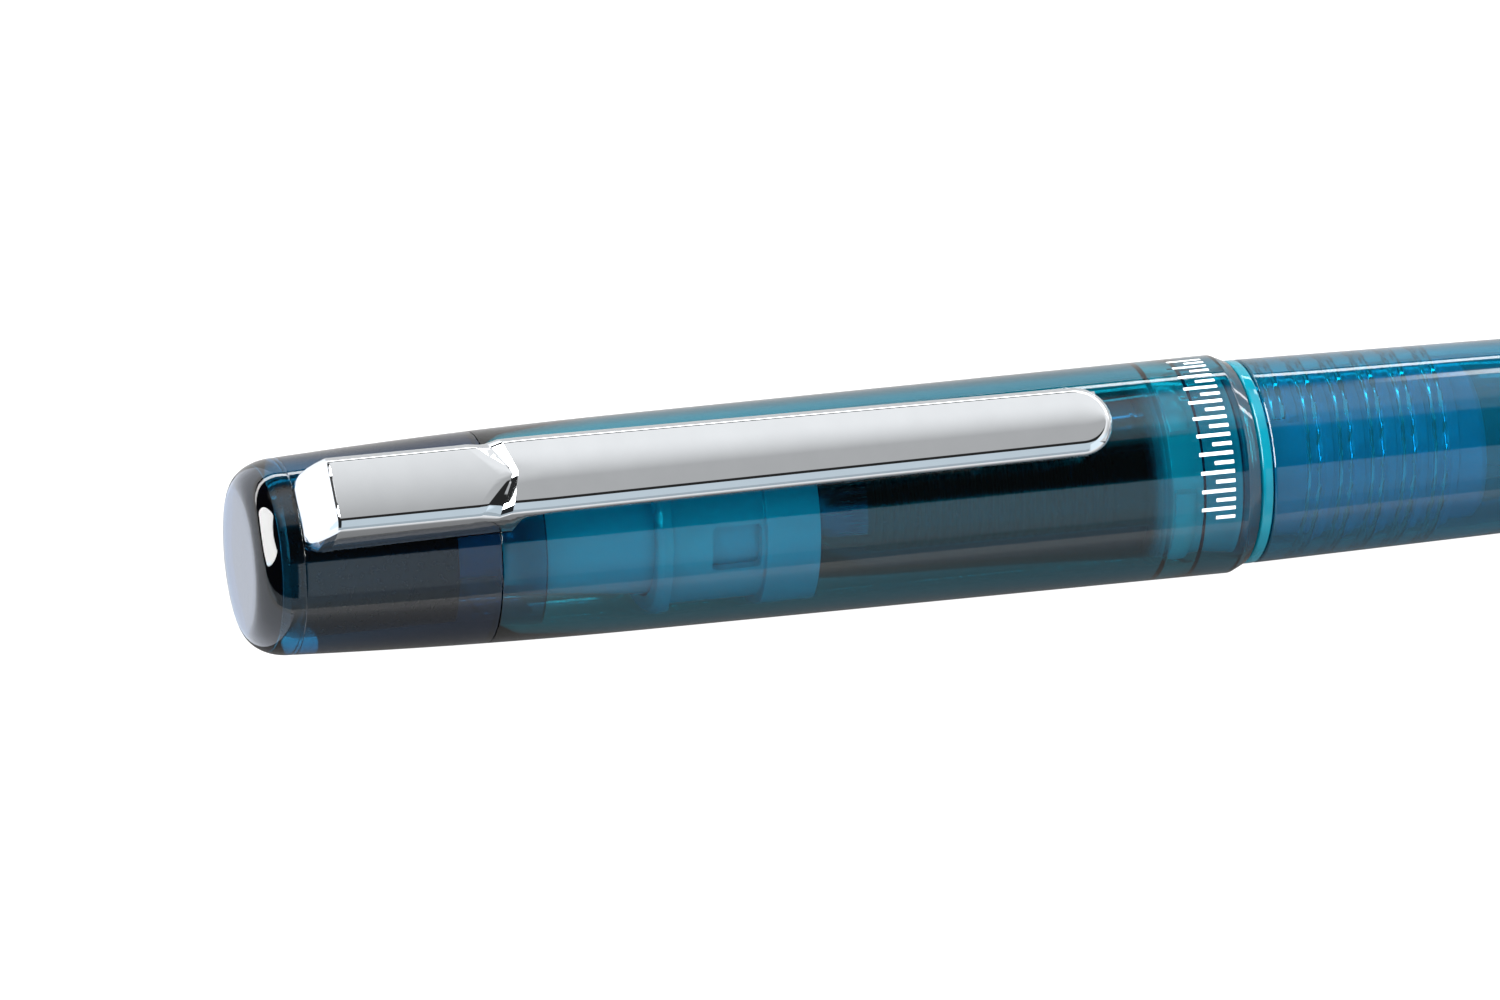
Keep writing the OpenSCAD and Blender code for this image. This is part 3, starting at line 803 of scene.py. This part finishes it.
def studio():
    """The studio round the pen, as soft panels of light and dark gaps between them."""
    world = bpy.data.worlds.new("studio")
    bpy.context.scene.world = world
    world.use_nodes = True
    tree = world.node_tree
    way = node(tree, "ShaderNodeTexCoord").outputs["Generated"]
    axes = node(tree, "ShaderNodeSeparateXYZ", {"Vector": way}).outputs
    along, up = axes["X"], axes["Z"]
    frontward = node(tree, "ShaderNodeMath", {0: axes["Y"], 1: -1.0}, operation="MULTIPLY")
    leaning = node(tree, "ShaderNodeMath", {0: frontward.outputs[0], 1: up}, operation="ARCTAN2")
    lean = node(tree, "ShaderNodeMath", {0: leaning.outputs[0], 1: 180 / pi},
                operation="MULTIPLY").outputs[0]
    dish = node(tree, "ShaderNodeVectorMath", {0: way, 1: (-0.785, 0.15, 0.51)},
                operation="DOT_PRODUCT").outputs["Value"]
    # lean: degrees from overhead towards the front, along: towards the tail, up: from the floor,
    # dish: how nearly the way points at the round light at the cap's end. Each limit has its two
    # edges and their softness, and each panel has its strength.
    panels = [
        (((lean, 34.7, 75, 0.6), (along, 0.06, 0.8, 0.03)), 0.88),        # front softbox
        (((lean, 75, 91, 0.6), (along, -0.9, 0.95, 0.03)), 0.62),         # its lower diffuser
        (((lean, -62, -11, 1.5), (along, -0.35, 0.75, 0.1)), 0.6),        # overhead panel
        (((lean, -62, -22, 7), (along, -0.35, 0.75, 0.1)), 1.25),         # its bright half
        (((lean, -87, -82, 0.8), (along, -0.75, 0.95, 0.05)), 8.0),       # far strip light
        (((lean, -64, -57, 1.0), (along, 0.343, 0.9, 0.012)), 9.0),       # tail-end strip light
        (((along, 0.45, 1.0, 0.1), (up, -0.1, 0.6, 0.05)), 1.3),          # tail-end wall
        (((dish, 0.829, 1.1, 0.004), (up, 0.2, 0.76, 0.02)), 16.0),       # round light at the cap
        (((along, -1.1, -0.6, 0.1), (up, -0.1, 0.1, 0.03)), 1.4),         # low card at the cap
    ]
    total = 0.03                                                      # the dark between panels
    for limits, strength in panels:
        glow = strength
        for limit in limits:
            glow = node(tree, "ShaderNodeMath", {0: softly_within(tree, *limit), 1: glow},
                        operation="MULTIPLY").outputs[0]
        total = node(tree, "ShaderNodeMath", {0: glow, 1: total},
                     operation="MAXIMUM").outputs[0]
    # The room is white where it is seen past the floor. Light gathers in clear plastic and lights
    # the cloudy pieces inside it, mostly from the front.
    gathered = 2.2
    path = node(tree, "ShaderNodeLightPath").outputs
    scattered = node(tree, "ShaderNodeMath", {0: path["Diffuse Depth"], 1: 1.0},
                     operation="MINIMUM")
    inside = node(tree, "ShaderNodeMath", {0: path["Transmission Depth"], 1: 1.0},
                  operation="MINIMUM")
    cloudy = node(tree, "ShaderNodeMath", {0: scattered.outputs[0], 1: inside.outputs[0]},
                  operation="MULTIPLY")
    forward = node(tree, "ShaderNodeVectorMath", {0: way, 1: (0.25, -0.85, 0.46)},
                   operation="DOT_PRODUCT").outputs["Value"]
    spread = node(tree, "ShaderNodeMapRange", {
        "Value": forward, "From Min": -0.2, "To Min": 0.2 * gathered, "To Max": gathered})
    fill = node(tree, "ShaderNodeMath", {0: cloudy.outputs[0], 1: spread.outputs["Result"]},
                operation="MULTIPLY")
    for light in (path["Is Camera Ray"], fill.outputs[0]):
        total = node(tree, "ShaderNodeMath", {0: light, 1: total}, operation="MAXIMUM").outputs[0]
    # The softbox in front and its diffuser are a little cooler than the other lights.
    cool = node(tree, "ShaderNodeMix", {
        0: softly_within(tree, lean, 34.7, 91, 0.6), 6: (1, 1, 1, 1), 7: (0.86, 0.99, 1.08, 1)},
        data_type="RGBA")
    back = tree.nodes["Background"]
    tree.links.new(cool.outputs[2], back.inputs["Color"])
    tree.links.new(total, back.inputs["Strength"])


def overhead_diffuser():
    """A square panel over the pen, aimed at its middle. It lights surfaces and casts the pen's
    shadow, but doesn't show in the gloss, where the studio's panels do."""
    centre, size, watts = Vector((0.0, -0.15, 0.7)), 0.5, 5.5
    light = bpy.data.lights.new("overhead_diffuser", "AREA")
    light.shape = "RECTANGLE"
    light.size, light.size_y = size, size
    light.energy = watts
    made = placed("overhead_diffuser", light)
    made.matrix_world = (Matrix.Translation(centre)
                         @ centre.to_track_quat("Z", "Y").to_matrix().to_4x4())
    made.visible_glossy = False
    made.visible_transmission = False


def camera():
    """Long lens, looking down at 66 degrees over the pen's side, a little from the cap's end."""
    lens, sensor, distance = 252.05, 36, 0.62477             # mm, mm and metres
    forward, sideways, roll = 24, -14.893, -5.636            # turns from straight down, in degrees
    aim = at(31.18, 0.412, 0.525)
    turn = (Matrix.Rotation(radians(forward), 4, "X") @ Matrix.Rotation(radians(sideways), 4, "Y")
            @ Matrix.Rotation(radians(roll), 4, "Z"))
    data = bpy.data.cameras.new("camera")
    data.lens = lens
    data.sensor_width = sensor
    data.clip_start = 0.01
    made = placed("camera", data)
    made.matrix_world = Matrix.Translation(aim) @ turn @ Matrix.Translation((0, 0, distance))
    bpy.context.scene.camera = made


studio()
overhead_diffuser()
camera()
# Light passes many walls of clear plastic before it is lost.
WALLS = 24
bpy.context.scene.cycles.max_bounces = WALLS
bpy.context.scene.cycles.transmission_bounces = WALLS
bpy.context.scene.view_settings.view_transform = "Standard"
